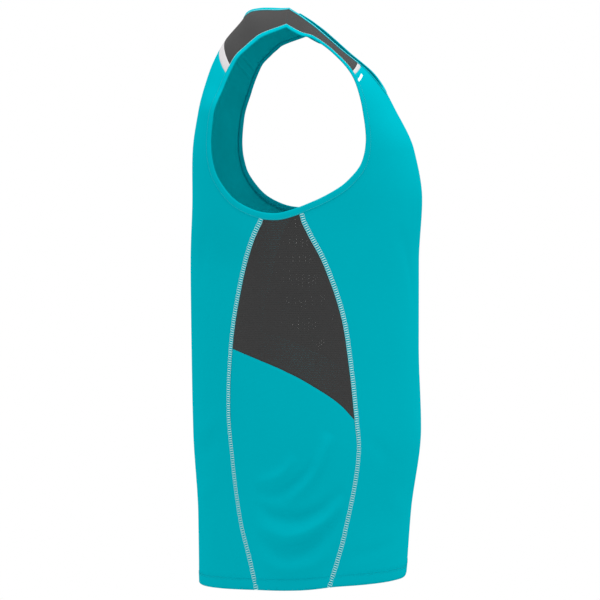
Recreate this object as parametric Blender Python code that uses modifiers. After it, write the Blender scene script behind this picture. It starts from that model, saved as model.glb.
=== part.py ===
"""Sleeveless running t-shirt, held open by its unseen wearer. Metres, +Z up, the chest faces -Y.
The origin lies between the two neck points, at the level of the shoulder line there.

The cloth follows rings round the body. A place on it is (turn, height): turn is 0 at the centre
front, 90 at the side and 180 at the centre back, height is the ring's level at the centre line."""

import math
from collections import namedtuple

import bpy
import numpy as np

wall = 0.0012          # knitted cloth, one layer
hemWall = 0.0024       # turned-up hem
hemDepth = 0.0145
seamGap = 0.0007       # between neighbouring pieces
edgeGap = 0.0009       # between the pieces and the bindings that follow their curved edges
bindingWidth = 0.008
bindingProud = 0.0004  # binding stands out of the cloth by this
bindingWall = 0.0021
ridgeHeight = 0.0119   # top ring, flattened to the shoulder line
ridgeGap = 0.25        # mm of ring level that the shoulder seam takes on each side
frontStripLevels = 0.0035  # ring levels that it spans, 5 mm of cloth
backStripLevels = 0.010    # 11 mm of cloth

# one row per ring, mm: level, half width, depth in front and behind, how far the side lies
# forward, how far the side hangs below the centre, squareness of the front and of the back
Ring = namedtuple("Ring", "level halfWidth front back forward drop frontSquare backSquare")
rings = [
    Ring(-700.0, 196, 133, 112, 8, 0, 2.3, 2.3),
    Ring(-600.0, 198, 140, 113, 8, 0, 2.3, 2.3),
    Ring(-500.0, 198, 152, 119, 8, 0, 2.3, 2.3),
    Ring(-400.0, 196, 149, 121, 8, 0, 2.3, 2.3),
    Ring(-300.0, 195, 149, 122, 8, 0, 2.3, 2.3),
    Ring(-225.0, 194, 153, 116, 8, 2, 2.2, 3.5),
    Ring(-165.0, 194, 143, 114, 8, 8, 2.3, 4.2),
    Ring(-115.0, 194, 119, 107, 8, 19, 2.7, 4.2),
    Ring(-72.0, 195, 94, 98, 9, 37, 3.2, 2.9),
    Ring(-38.0, 197, 57, 83, 10, 45, 4.7, 2.3),
    Ring(-13.0, 199, 32, 63, 12, 66, 4.0, 2.1),
    Ring(2.0, 200, 16, 49, 13, 83, 2.8, 2.1),
    Ring(ridgeHeight * 1000, 200, 0, 0, 7, 75, 2.4, 2.4),
]

# finished edge of the armhole, from the shoulder line down the front, under the arm, up the back
Place = namedtuple("Place", "turn height")
armholeEdge = [
    Place(43.5, 11.9),
    Place(37.7, -6),
    Place(36.1, -22),
    Place(36.5, -42),
    Place(39.7, -62),
    Place(42.9, -82),
    Place(45.6, -105),
    Place(48.4, -130),
    Place(51.6, -155),
    Place(55.6, -177),
    Place(62.2, -195),
    Place(68, -206.5),
    Place(78, -220.5),
    Place(91, -233.5),
    Place(101, -235),
    Place(110, -229.5),
    Place(118.5, -217),
    Place(125.4, -194),
    Place(128.2, -173),
    Place(129.7, -150),
    Place(130.4, -126),
    Place(131, -92),
    Place(132.4, -58),
    Place(133.8, -32),
    Place(135.3, -12),
    Place(136.4, 2),
    Place(136.5, 11.9),
]
# finished edge of the neck: front, centre to shoulder, then back, shoulder to centre
neckFront = [
    Place(0, -92),
    Place(7.8, -87.8),
    Place(14.2, -76.5),
    Place(19.5, -58),
    Place(21.6, -32),
    Place(21.6, -9),
    Place(21.9, 3),
    Place(22.3, 11.9),
]
neckBack = [
    Place(157.7, 11.9),
    Place(159.7, 10),
    Place(166, 6),
    Place(173, -0.8),
    Place(180, -4),
]
# seams between the side panels and the body, hem to armhole
frontSeam = [
    Place(70, -673),
    Place(69.2, -665),
    Place(64.6, -628),
    Place(62, -600),
    Place(59.4, -558.5),
    Place(58.2, -510),
    Place(59.9, -474),
    Place(61.3, -432),
    Place(62.9, -398),
    Place(65, -364.5),
    Place(68.7, -330.5),
    Place(74.5, -292),
    Place(80.2, -264.5),
    Place(85, -239),
]
backSeam = [
    Place(106.2, -680),
    Place(107.5, -668),
    Place(111.5, -632),
    Place(116.3, -594),
    Place(119, -554),
    Place(120.6, -510),
    Place(121.3, -475),
    Place(121.1, -435),
    Place(119.7, -393),
    Place(118.3, -368.5),
    Place(116.2, -343),
    Place(112, -301),
    Place(106.8, -265),
    Place(102, -242),
]
# lower edge of the dark side panel, back seam to front seam
meshEdge = [
    Place(119.7, -393),
    Place(105, -404.7),
    Place(89.3, -419),
    Place(76.4, -437.5),
    Place(66.8, -455),
    Place(59.9, -474),
]
# hem line round the body, centre front to centre back
hemLine = [
    Place(0, -675),
    Place(26, -670),
    Place(44, -667),
    Place(61, -665.5),
    Place(71, -666),
    Place(76, -668),
    Place(91, -669),
    Place(111, -669.5),
    Place(133, -673),
    Place(160, -679),
    Place(180, -681),
]
# seam heights at the neck and at the armhole
frontStripTop = (-58, -60)
yokeSeam = (-33, -47.5)

# shallow swags that hang across the side below the dark panel: lowest place, half span in
# degrees, rise of each end, depth and half width in mm
Swag = namedtuple("Swag", "turn height span riseFront riseBack depth breadth")
swags = [
    Swag(84, -515, 25, 40, 16, 1.6, 11),
    Swag(88, -560, 27, 60, 22, 2.2, 12),
    Swag(90, -602, 24, 52, 20, 2.0, 12),
    Swag(87, -635, 18, 26, 12, 1.2, 10),
]

ringTable = np.array(rings, float)
rises = np.diff(ringTable, axis=0) / np.diff(ringTable[:, :1], axis=0)
rowSlopes = np.vstack([rises[:1], np.zeros_like(rises[1:]), rises[-1:]])
together = rises[1:] * rises[:-1] > 0
rowSlopes[1:-1][together] = 2 / (1 / rises[1:][together] + 1 / rises[:-1][together])


def throughRows(level):
    """Ring values at a level: a cubic through the rows that never swings past them."""
    levels = ringTable[:, 0]
    level = min(max(level, levels[0]), levels[-1])
    i = min(int(np.searchsorted(levels, level, side="right")) - 1, len(levels) - 2)
    step = levels[i + 1] - levels[i]
    t = (level - levels[i]) / step
    return (
        (2 * t**3 - 3 * t**2 + 1) * ringTable[i]
        + (t**3 - 2 * t**2 + t) * step * rowSlopes[i]
        + (3 * t**2 - 2 * t**3) * ringTable[i + 1]
        + (t**3 - t**2) * step * rowSlopes[i + 1]
    )


def bodyPoint(turn, height):
    """The point at (turn, height) on the wearer's left, mm."""
    _, halfWidth, front, back, forward, drop, frontSquare, backSquare = throughRows(height)
    across = max(math.sin(math.radians(turn)), 0.0)
    along = math.cos(math.radians(turn))
    square, depth = (frontSquare, front) if along >= 0 else (backSquare, back)
    size = (across**square + abs(along) ** square) ** (1 / square)
    if turn in (0, 180):
        across = 0.0
    return np.array(
        [
            halfWidth * across / size,
            -forward * across**2 - depth * along / size,
            height - drop * across**2,
        ]
    )


def slopes(turn, height):
    """How the point moves per degree and per mm of height."""
    top = ringTable[-1, 0]
    low, high = height - 0.5, min(height + 0.5, top)
    perTurn = (bodyPoint(turn + 0.25, height) - bodyPoint(turn - 0.25, height)) / 0.5
    if turn < 0.25:
        perTurn = (bodyPoint(0.5, height) - bodyPoint(0, height)) / 0.5
        perTurn[1:] = 0
    if turn > 179.75:
        perTurn = (bodyPoint(180, height) - bodyPoint(179.5, height)) / 0.5
        perTurn[1:] = 0
    perHeight = (bodyPoint(turn, high) - bodyPoint(turn, low)) / (high - low)
    return perTurn, perHeight


def outward(turn, height):
    perTurn, perHeight = slopes(turn, height)
    facing = np.cross(perTurn, perHeight)
    return facing / np.linalg.norm(facing)


def swagDepth(turn, height):
    """How far the swags push the cloth out at this place, mm."""
    total = 0.0
    for swag in swags:
        reach = (turn - swag.turn) / swag.span
        if abs(reach) >= 1:
            continue
        rise = swag.riseFront if reach < 0 else swag.riseBack
        off = (height - swag.height - rise * reach**2) / swag.breadth
        total += swag.depth * math.exp(-(off**2)) * math.cos(reach * math.pi / 2) ** 2
    return total


def clothPoint(turn, height):
    point = bodyPoint(turn, height)
    push = swagDepth(turn, height)
    if push > 0.01:
        point = point + outward(turn, height) * push
    return point


def smoothPath(places, count):
    """count + 1 places evenly along a smooth line through the given ones. A line that starts or
    ends on the centre line crosses it square."""
    rows = np.array(places, float)
    before, after = 2 * rows[0] - rows[1], 2 * rows[-1] - rows[-2]
    if rows[0, 0] == 0:
        before[1] = rows[1, 1]
    if rows[-1, 0] == 180:
        after[1] = rows[-2, 1]
    rows = np.vstack([before, rows, after])
    dense = []
    for k in range(1, len(rows) - 2):
        before, start, end, after = rows[k - 1 : k + 3]
        for t in np.linspace(0, 1, 12, endpoint=False):
            dense.append(
                start
                + 0.5 * t * (end - before)
                + t**2 * (before - 2.5 * start + 2 * end - 0.5 * after)
                + 0.5 * t**3 * (3 * (start - end) + after - before)
            )
    dense.append(rows[-2])
    return evenly(dense, count)


def evenly(places, count):
    """The places of a line, taken again at even distances along the cloth."""
    rows = np.array(places, float)
    points = np.array([bodyPoint(*row) for row in rows])
    run = np.concatenate([[0], np.cumsum(np.linalg.norm(np.diff(points, axis=0), axis=1))])
    at = np.linspace(0, run[-1], count + 1)
    return np.stack([np.interp(at, run, rows[:, 0]), np.interp(at, run, rows[:, 1])], 1)


def slide(place, direction, distance):
    """The place that lies this many mm away on the cloth."""
    perTurn, perHeight = slopes(*place)
    grid = np.stack([perTurn, perHeight], 1)
    step = np.linalg.lstsq(grid, direction * distance, rcond=None)[0]
    return np.array([place[0] + step[0], place[1] + step[1]])


def beside(path, distance, side, ends=("free", "free")):
    """The path moved sideways over the cloth by distance mm. side is 1 to the left of its run as
    seen from outside. An end on the shoulder line or the centre line stays on it."""
    path = np.array(path, float)
    moved = []
    for k, place in enumerate(path):
        ahead = bodyPoint(*path[min(k + 1, len(path) - 1)])
        run = ahead - bodyPoint(*path[max(k - 1, 0)])
        across = np.cross(outward(*place), run)
        across *= side / np.linalg.norm(across)
        new = slide(place, across, distance)
        end = ends[0] if k == 0 else ends[1] if k == len(path) - 1 else "free"
        perTurn, perHeight = slopes(*place)
        if end == "ridge":
            sense = math.copysign(1, perTurn @ across)
            new = place + [sense * distance / np.linalg.norm(perTurn), 0]
        if end == "centre":
            sense = math.copysign(1, perHeight @ across)
            new = place + [0, sense * distance / np.linalg.norm(perHeight)]
        new[1] = min(new[1], ringTable[-1, 0])
        moved.append(new)
    return np.array(moved)


def stretch(path, start, end, count):
    """The run of a path between the places nearest to start and end, in count steps."""
    rows = np.array(path)
    points = np.array([bodyPoint(*row) for row in rows])
    first, last = [
        int(np.linalg.norm(points - bodyPoint(*place), axis=1).argmin())
        for place in (start, end)
    ]
    rows = rows[first : last + 1] if first <= last else rows[last : first + 1][::-1]
    return evenly(rows, count)


def line(start, end, count):
    return np.linspace(start, end, count + 1)


def arch(middle, side, count):
    """A line from a place on the centre line, level there, falling ever faster to the side."""
    share = np.linspace(0, 1, count + 1)
    turns = middle[0] + (side[0] - middle[0]) * share
    return np.stack([turns, middle[1] + (side[1] - middle[1]) * share**2], 1)


def upCentre(turn, low, high, count):
    return evenly([(turn, h) for h in np.linspace(low, high, 40)], count)


def stripLevels(top, depth):
    """The heights on both sides of a strip's upper gap, then of its lower gap."""
    return top + gap, top - gap, top - depth + gap, top - depth - gap


def atHeight(path, height):
    """The place where a path that rises or falls all along has this height."""
    rows = np.array(path)
    if rows[0, 1] > rows[-1, 1]:
        rows = rows[::-1]
    return np.array([np.interp(height, rows[:, 1], rows[:, 0]), height])


def hemHeight(turn):
    rows = smoothPath(hemLine, 60)
    return float(np.interp(turn, rows[:, 0], rows[:, 1]))


def hemStart(turnAt):
    """The three rows of a side line at the hem: its edge, its fold and just above the fold."""
    rows = []
    for rise in (0, hemDepth * 1000, hemDepth * 1000 + 0.8):
        height = -675.0
        for _ in range(4):
            height = hemHeight(turnAt(height)) + rise
        rows.append((turnAt(height), height))
    return rows


def weave(left, right, columns, bottom=None, top=None, firmRows=1):
    """Rows of places from the left line to the right line. The rows take the shape of the bottom
    line over the first firmRows rows, and lose it for that of the top line further up."""
    rows = len(left)
    grid = np.array([line(left[r], right[r], columns) for r in range(rows)])
    fade = np.clip(1 - (np.arange(rows) - firmRows + 1) / (rows - firmRows), 0, 1)
    for edge, share in ((bottom, fade), (top, 1 - fade)):
        if edge is not None:
            bow = edge - line(edge[0], edge[-1], columns)
            grid += share[:, None, None] * bow[None]
    return grid


def makeMaterial(name, colour, roughness):
    material = bpy.data.materials.new(name)
    material.use_nodes = True
    surface = material.node_tree.nodes["Principled BSDF"]
    surface.inputs["Base Color"].default_value = (*colour, 1)
    surface.inputs["Roughness"].default_value = roughness
    surface.inputs["Metallic"].default_value = 0.0
    return material


def addObject(name, points, faces, material):
    mesh = bpy.data.meshes.new(name)
    mesh.from_pydata([tuple(p / 1000) for p in points], [], faces)
    mesh.polygons.foreach_set("use_smooth", [True] * len(mesh.polygons))
    mesh.materials.append(material)
    obj = bpy.data.objects.new(name, mesh)
    shirt.objects.link(obj)
    return obj


def addPanel(name, grid, material, side=1, whole=False, hemRows=0):
    """A cloth panel over a grid of places. With whole, its first column runs up the middle and
    the other half is mirrored on. The cloth is doubled over the first hemRows rows."""
    rows, columns = grid.shape[:2]
    points = [clothPoint(*place) * [side, 1, 1] for place in grid.reshape(-1, 2)]
    faces = []
    for r in range(rows - 1):
        for k in range(columns - 1):
            a = r * columns + k
            faces.append((a, a + 1, a + columns + 1, a + columns))
    r, k = (rows - 1) // 2, (columns - 1) // 2
    middle = r * columns + k
    across = points[middle + 1] - points[middle]
    up = points[middle + columns] - points[middle]
    facing = outward(*grid[r, k]) * [side, 1, 1]
    if np.cross(across, up) @ facing < 0:
        faces = [face[::-1] for face in faces]
    obj = addObject(name, points, faces, material)
    if whole:
        mirror = obj.modifiers.new("Mirror", "MIRROR")
        mirror.merge_threshold = 0.0001
    solid = obj.modifiers.new("Wall", "SOLIDIFY")
    solid.offset = -1
    solid.thickness = wall
    if hemRows:
        doubled = obj.vertex_groups.new(name="hem")
        doubled.add(list(range(hemRows * columns)), 1.0, "REPLACE")
        solid.thickness = hemWall
        solid.vertex_group = "hem"
        solid.thickness_vertex_group = wall / hemWall
    obj.modifiers.new("Shading", "WEIGHTED_NORMAL")
    return obj


def addBinding(name, seam, edge, material, side=1, whole=False):
    """A folded band from the seam to the finished edge. With whole, the other half is mirrored
    on, else the band closes on itself."""
    proud, back = bindingProud * 1000, (bindingProud - bindingWall) * 1000
    section = [
        (0.0, proud),
        (0.55, proud * 1.3),
        (0.94, proud * 0.7),
        (1.0, (proud + back) / 2),
        (0.93, back),
        (0.0, back),
    ]
    facings = [outward(*((start + end) / 2)) for start, end in zip(seam, edge)]
    points, faces = [], []
    steps, around = len(seam), len(section)
    for r in range(steps):
        foot, rim = bodyPoint(*seam[r]), bodyPoint(*edge[r])
        near = [facings[r - 1], facings[r], facings[(r + 1) % steps]]
        if whole and r in (0, steps - 1):
            near = [facings[r]]
        facing = sum(near) / np.linalg.norm(sum(near))
        for reach, rise in section:
            points.append((foot + (rim - foot) * reach + facing * rise) * [side, 1, 1])
    for r in range(steps - 1 if whole else steps):
        for k in range(around):
            a, b = r * around + k, r * around + (k + 1) % around
            c, d = (r + 1) % steps * around + (k + 1) % around, (r + 1) % steps * around + k
            faces.append((a, b, c, d))
    # the open ends of half a band lie in the plane x = 0, so they add nothing to this volume
    volume = 0.0
    for a, b, c, d in faces:
        volume += points[a] @ np.cross(points[b], points[c])
        volume += points[a] @ np.cross(points[c], points[d])
    if volume < 0:
        faces = [face[::-1] for face in faces]
    obj = addObject(name, points, faces, material)
    if whole:
        mirror = obj.modifiers.new("Mirror", "MIRROR")
        mirror.merge_threshold = 0.0001
    return obj


for obj in list(bpy.data.objects):
    bpy.data.objects.remove(obj)
shirt = bpy.data.collections.new("running_shirt")
bpy.context.scene.collection.children.link(shirt)

teal = makeMaterial("teal_knit", (0.0, 0.40, 0.48), 0.75)
grey = makeMaterial("grey_knit", (0.075, 0.075, 0.075), 0.8)
netting = makeMaterial("grey_mesh", (0.045, 0.045, 0.045), 0.85)
silver = makeMaterial("silver_tape", (0.62, 0.60, 0.61), 0.35)
trim = makeMaterial("teal_binding", (0.0, 0.36, 0.44), 0.7)

gap = seamGap * 1000 / 2
width = bindingWidth * 1000
armEdge = smoothPath(armholeEdge, 72)
armSeam = beside(armEdge, width, -1, ("ridge", "ridge"))
frontNeckEdge = smoothPath(neckFront, 26)
backNeckEdge = smoothPath(neckBack, 14)
frontNeckSeam = beside(frontNeckEdge, width, -1, ("centre", "ridge"))
backNeckSeam = beside(backNeckEdge, width, -1, ("ridge", "centre"))
inset = width + edgeGap * 1000
armPanel = beside(smoothPath(armholeEdge, 400), inset, -1, ("ridge", "ridge"))
frontNeckPanel = beside(smoothPath(neckFront, 200), inset, -1, ("centre", "ridge"))
backNeckPanel = beside(smoothPath(neckBack, 120), inset, -1, ("ridge", "centre"))

# the armhole line of the panels: its front falls from the shoulder line, its back climbs to it
lowest = int(armPanel[:, 1].argmin())
armFront, armBack = armPanel[: lowest + 1], armPanel[lowest:]
seamFront, seamBack = smoothPath(frontSeam, 60), smoothPath(backSeam, 60)


def underArm(turn):
    """The place under the arm where the armhole line of the panels passes this turn."""
    rows = armPanel[lowest - 60 : lowest + 60]
    return np.array([turn, np.interp(turn, rows[:, 0], rows[:, 1])])


cornerGap = gap / 3.3  # degrees, at 3.3 mm a degree
frontCorner, backCorner = frontSeam[-1].turn, backSeam[-1].turn


def sideLines(seam, shift, corner, join):
    """A panel's line up a side seam, moved off it by half a gap: the run from the hem to the
    level where the dark side panel starts, and the run from there to the armhole."""
    moved = beside(seam, gap, shift)
    path = np.vstack([moved[moved[:, 1] < corner[1] - 6], [corner]])

    def turnAt(height):
        return float(np.interp(height, path[:, 1], path[:, 0]))

    def run(low, high, steps):
        between = path[(path[:, 1] > low + 1) & (path[:, 1] < high - 1)]
        return evenly(np.vstack([[turnAt(low), low], between, [turnAt(high), high]]), steps)

    hem = hemStart(turnAt)
    lower = np.vstack([*hem[:-1], run(hem[-1][1], join, lowerRows)])
    return lower, run(join, corner[1], upperRows)


def centreLine(turn, high, steps):
    rows = hemStart(lambda height: turn)
    return np.vstack([rows[:-1], upCentre(turn, rows[-1][1], high, steps)])


def hemPart(left, right, columns):
    return np.array([(t, hemHeight(t)) for t in np.linspace(left[0], right[0], columns + 1)])


def joined(*paths):
    return np.vstack([paths[0]] + [path[1:] for path in paths[1:]])


# rows of cloth between the hem, the dark panel's corners and the armhole
lowerRows, upperRows, columns = 14, 6, 10
frontJoin, backJoin = meshEdge[-1].height, meshEdge[0].height

# front: up the centre and round the neck, and up the side seam and round the armhole
deep = frontStripLevels * 1000
neckAt = [atHeight(frontNeckPanel, level) for level in stripLevels(frontStripTop[0], deep)]
armAt = [atHeight(armFront, level) for level in stripLevels(frontStripTop[1], deep)]
neckLow = frontNeckPanel[0]
corner = underArm(frontCorner - cornerGap)
inner = joined(
    centreLine(0, frontJoin, lowerRows),
    upCentre(0, frontJoin, -250, upperRows),
    upCentre(0, -250, neckLow[1], 11),
    stretch(frontNeckPanel, neckLow, neckAt[3], 6),
)
outer = joined(
    *sideLines(seamFront, 1, corner, frontJoin),
    stretch(armFront, corner, (42.5, -102), 11),
    stretch(armFront, (42.5, -102), armAt[3], 6),
)
inner[-1], outer[-1] = neckAt[3], armAt[3]
front = weave(inner, outer, columns, hemPart(inner[0], outer[0], columns), None, 3)
addPanel("front", front, teal, whole=True, hemRows=2)

# back: up the centre, and up the side seam and round the armhole
deep = backStripLevels * 1000
midAt = [np.array([180.0, level]) for level in stripLevels(yokeSeam[0], deep)]
backAt = [atHeight(armBack, level) for level in stripLevels(yokeSeam[1], deep)]
corner = underArm(backCorner + cornerGap)
inner = joined(
    centreLine(180, backJoin, lowerRows),
    upCentre(180, backJoin, -250, upperRows),
    upCentre(180, -250, midAt[3][1], 14),
)
outer = joined(
    *sideLines(seamBack, -1, corner, backJoin),
    stretch(armBack, corner, backAt[3], 14),
)
outer[-1] = backAt[3]
hem, top = hemPart(inner[0], outer[0], columns), arch(midAt[3], backAt[3], columns)
back = weave(inner, outer, columns, hem, top, 3)
addPanel("back", back, teal, whole=True, hemRows=2)
strip = np.array([arch(midAt[k], backAt[k], columns) for k in (2, 1)])
addPanel("back_strip", strip, silver, whole=True)

# yoke over the shoulders and the back of the neck
under = ringTable[-1, 0] - ridgeGap
neckTop, armTop = atHeight(backNeckPanel, under), atHeight(armBack, under)
neckBackLow = backNeckPanel[-1]
inner = joined(
    stretch(backNeckPanel, neckTop, neckBackLow, 10),
    upCentre(180, neckBackLow[1], midAt[0][1], 2),
)
outer = stretch(armBack, armTop, backAt[0], 12)
inner[0], outer[0], inner[-1], outer[-1] = neckTop, armTop, midAt[0], backAt[0]
yoke = weave(inner[::-1], outer[::-1], columns, arch(midAt[0], backAt[0], columns))
addPanel("back_yoke", yoke, grey, whole=True)

for name, side in (("right", -1), ("left", 1)):
    neckTop, armTop = atHeight(frontNeckPanel, under), atHeight(armFront, under)
    inner = stretch(frontNeckPanel, neckTop, neckAt[0], 6)
    outer = stretch(armFront, armTop, armAt[0], 6)
    inner[0], outer[0], inner[-1], outer[-1] = neckTop, armTop, neckAt[0], armAt[0]
    addPanel("shoulder_" + name, weave(inner, outer, 5), grey, side)
    strip = np.array([line(neckAt[2], armAt[2], 5), line(neckAt[1], armAt[1], 5)])
    addPanel("front_strip_" + name, strip, silver, side)

    # side panels: dark mesh under the arm, body knit below it
    edge = smoothPath(meshEdge, 8)
    backLow, backHigh = sideLines(seamBack, 1, underArm(backCorner - cornerGap), backJoin)
    frontLow, frontHigh = sideLines(seamFront, -1, underArm(frontCorner + cornerGap), frontJoin)
    for low, high in ((backLow, backHigh), (frontLow, frontHigh)):
        low[-1, 1] -= gap
        high[0, 1] += gap
    turns = np.linspace(backHigh[-1][0], frontHigh[-1][0], 9)
    top = np.array([underArm(turn) for turn in turns])
    addPanel("side_mesh_" + name, weave(backHigh, frontHigh, 8, edge, top), netting, side)
    hem = hemPart(backLow[0], frontLow[0], 8)
    lower = weave(backLow, frontLow, 8, hem, edge, 3)
    addPanel("side_lower_" + name, lower, teal, side, hemRows=2)
    addBinding("armhole_binding_" + name, armSeam[:-1], armEdge[:-1], trim, side)

addBinding(
    "neck_binding",
    joined(frontNeckSeam, backNeckSeam),
    joined(frontNeckEdge, backNeckEdge),
    trim,
    whole=True,
)
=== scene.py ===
import math
from collections import namedtuple

import bpy
import numpy as np
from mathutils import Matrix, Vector, kdtree
from mathutils.geometry import delaunay_2d_cdt


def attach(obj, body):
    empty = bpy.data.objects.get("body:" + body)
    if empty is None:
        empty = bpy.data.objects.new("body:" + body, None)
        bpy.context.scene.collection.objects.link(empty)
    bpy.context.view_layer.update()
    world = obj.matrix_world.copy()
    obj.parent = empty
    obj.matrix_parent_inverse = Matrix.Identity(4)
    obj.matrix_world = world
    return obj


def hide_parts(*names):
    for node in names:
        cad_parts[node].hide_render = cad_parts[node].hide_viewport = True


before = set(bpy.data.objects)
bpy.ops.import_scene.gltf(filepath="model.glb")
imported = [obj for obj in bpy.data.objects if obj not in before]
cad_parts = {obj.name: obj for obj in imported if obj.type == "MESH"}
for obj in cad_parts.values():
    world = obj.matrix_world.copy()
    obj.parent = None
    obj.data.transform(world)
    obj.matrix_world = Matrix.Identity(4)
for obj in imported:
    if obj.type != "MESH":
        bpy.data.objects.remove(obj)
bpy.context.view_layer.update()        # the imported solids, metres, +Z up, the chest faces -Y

# the form that the cloth lies on, in mm, as the solids have it. A place on it is (turn, height):
# turn 0 is the centre front, 90 the wearer's left side, -90 the right one and 180 the centre
# back; height is the ring's level at the centre line
Ring = namedtuple("Ring", "level halfWidth front back forward drop frontSquare backSquare")
rings = np.array([
    Ring(-700.0, 196, 133, 112, 8, 0, 2.3, 2.3),
    Ring(-600.0, 198, 140, 113, 8, 0, 2.3, 2.3),
    Ring(-500.0, 198, 152, 119, 8, 0, 2.3, 2.3),
    Ring(-400.0, 196, 149, 121, 8, 0, 2.3, 2.3),
    Ring(-300.0, 195, 149, 122, 8, 0, 2.3, 2.3),
    Ring(-225.0, 194, 153, 116, 8, 2, 2.2, 3.5),
    Ring(-165.0, 194, 143, 114, 8, 8, 2.3, 4.2),
    Ring(-115.0, 194, 119, 107, 8, 19, 2.7, 4.2),
    Ring(-72.0, 195, 94, 98, 9, 37, 3.2, 2.9),
    Ring(-38.0, 197, 57, 83, 10, 45, 4.7, 2.3),
    Ring(-13.0, 199, 32, 63, 12, 66, 4.0, 2.1),
    Ring(2.0, 200, 16, 49, 13, 83, 2.8, 2.1),
    Ring(11.9, 200, 0, 0, 7, 75, 2.4, 2.4),
], float)
levels = rings[:, 0]
ridge = levels[-1]       # the shoulder line
rises = np.diff(rings, axis=0) / np.diff(rings[:, :1], axis=0)
ringSlopes = np.vstack([rises[:1], np.zeros_like(rises[1:]), rises[-1:]])
agree = rises[1:] * rises[:-1] > 0
ringSlopes[1:-1][agree] = 2 / (1 / rises[1:][agree] + 1 / rises[:-1][agree])

At = namedtuple("At", "turn height")
# finished edge of the armhole: from the shoulder line down the front, under the arm, up the back
armholeEdge = [
    At(43.5, 11.9), At(37.7, -6), At(36.1, -22), At(36.5, -42), At(39.7, -62), At(42.9, -82),
    At(45.6, -105), At(48.4, -130), At(51.6, -155), At(55.6, -177), At(62.2, -195),
    At(68, -206.5), At(78, -220.5), At(91, -233.5), At(101, -235), At(110, -229.5),
    At(118.5, -217), At(125.4, -194), At(128.2, -173), At(129.7, -150), At(130.4, -126),
    At(131, -92), At(132.4, -58), At(133.8, -32), At(135.3, -12), At(136.4, 2), At(136.5, 11.9),
]
# finished edge of the neck
neckFront = [
    At(0, -92), At(7.8, -87.8), At(14.2, -76.5), At(19.5, -58), At(21.6, -32), At(21.6, -9),
    At(21.9, 3), At(22.3, 11.9),
]
neckBack = [At(157.7, 11.9), At(159.7, 10), At(166, 6), At(173, -0.8), At(180, -4)]
# seams of the side panels, hem to armhole
frontSeam = [
    At(70, -673), At(69.2, -665), At(64.6, -628), At(62, -600), At(59.4, -558.5), At(58.2, -510),
    At(59.9, -474), At(61.3, -432), At(62.9, -398), At(65, -364.5), At(68.7, -330.5),
    At(74.5, -292), At(80.2, -264.5), At(85, -239),
]
backSeam = [
    At(106.2, -680), At(107.5, -668), At(111.5, -632), At(116.3, -594), At(119, -554),
    At(120.6, -510), At(121.3, -475), At(121.1, -435), At(119.7, -393), At(118.3, -368.5),
    At(116.2, -343), At(112, -301), At(106.8, -265), At(102, -242),
]
# lower edge of the netting, back seam to front seam
nettingEdge = [
    At(119.7, -393), At(105, -404.7), At(89.3, -419), At(76.4, -437.5), At(66.8, -455),
    At(59.9, -474),
]
hemLine = [
    At(0, -675), At(26, -670), At(44, -667), At(60, -665.6), At(68, -665.8), At(74, -667),
    At(81, -668.3), At(91, -669), At(111, -669.5), At(133, -673), At(160, -679), At(180, -681),
]

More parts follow.
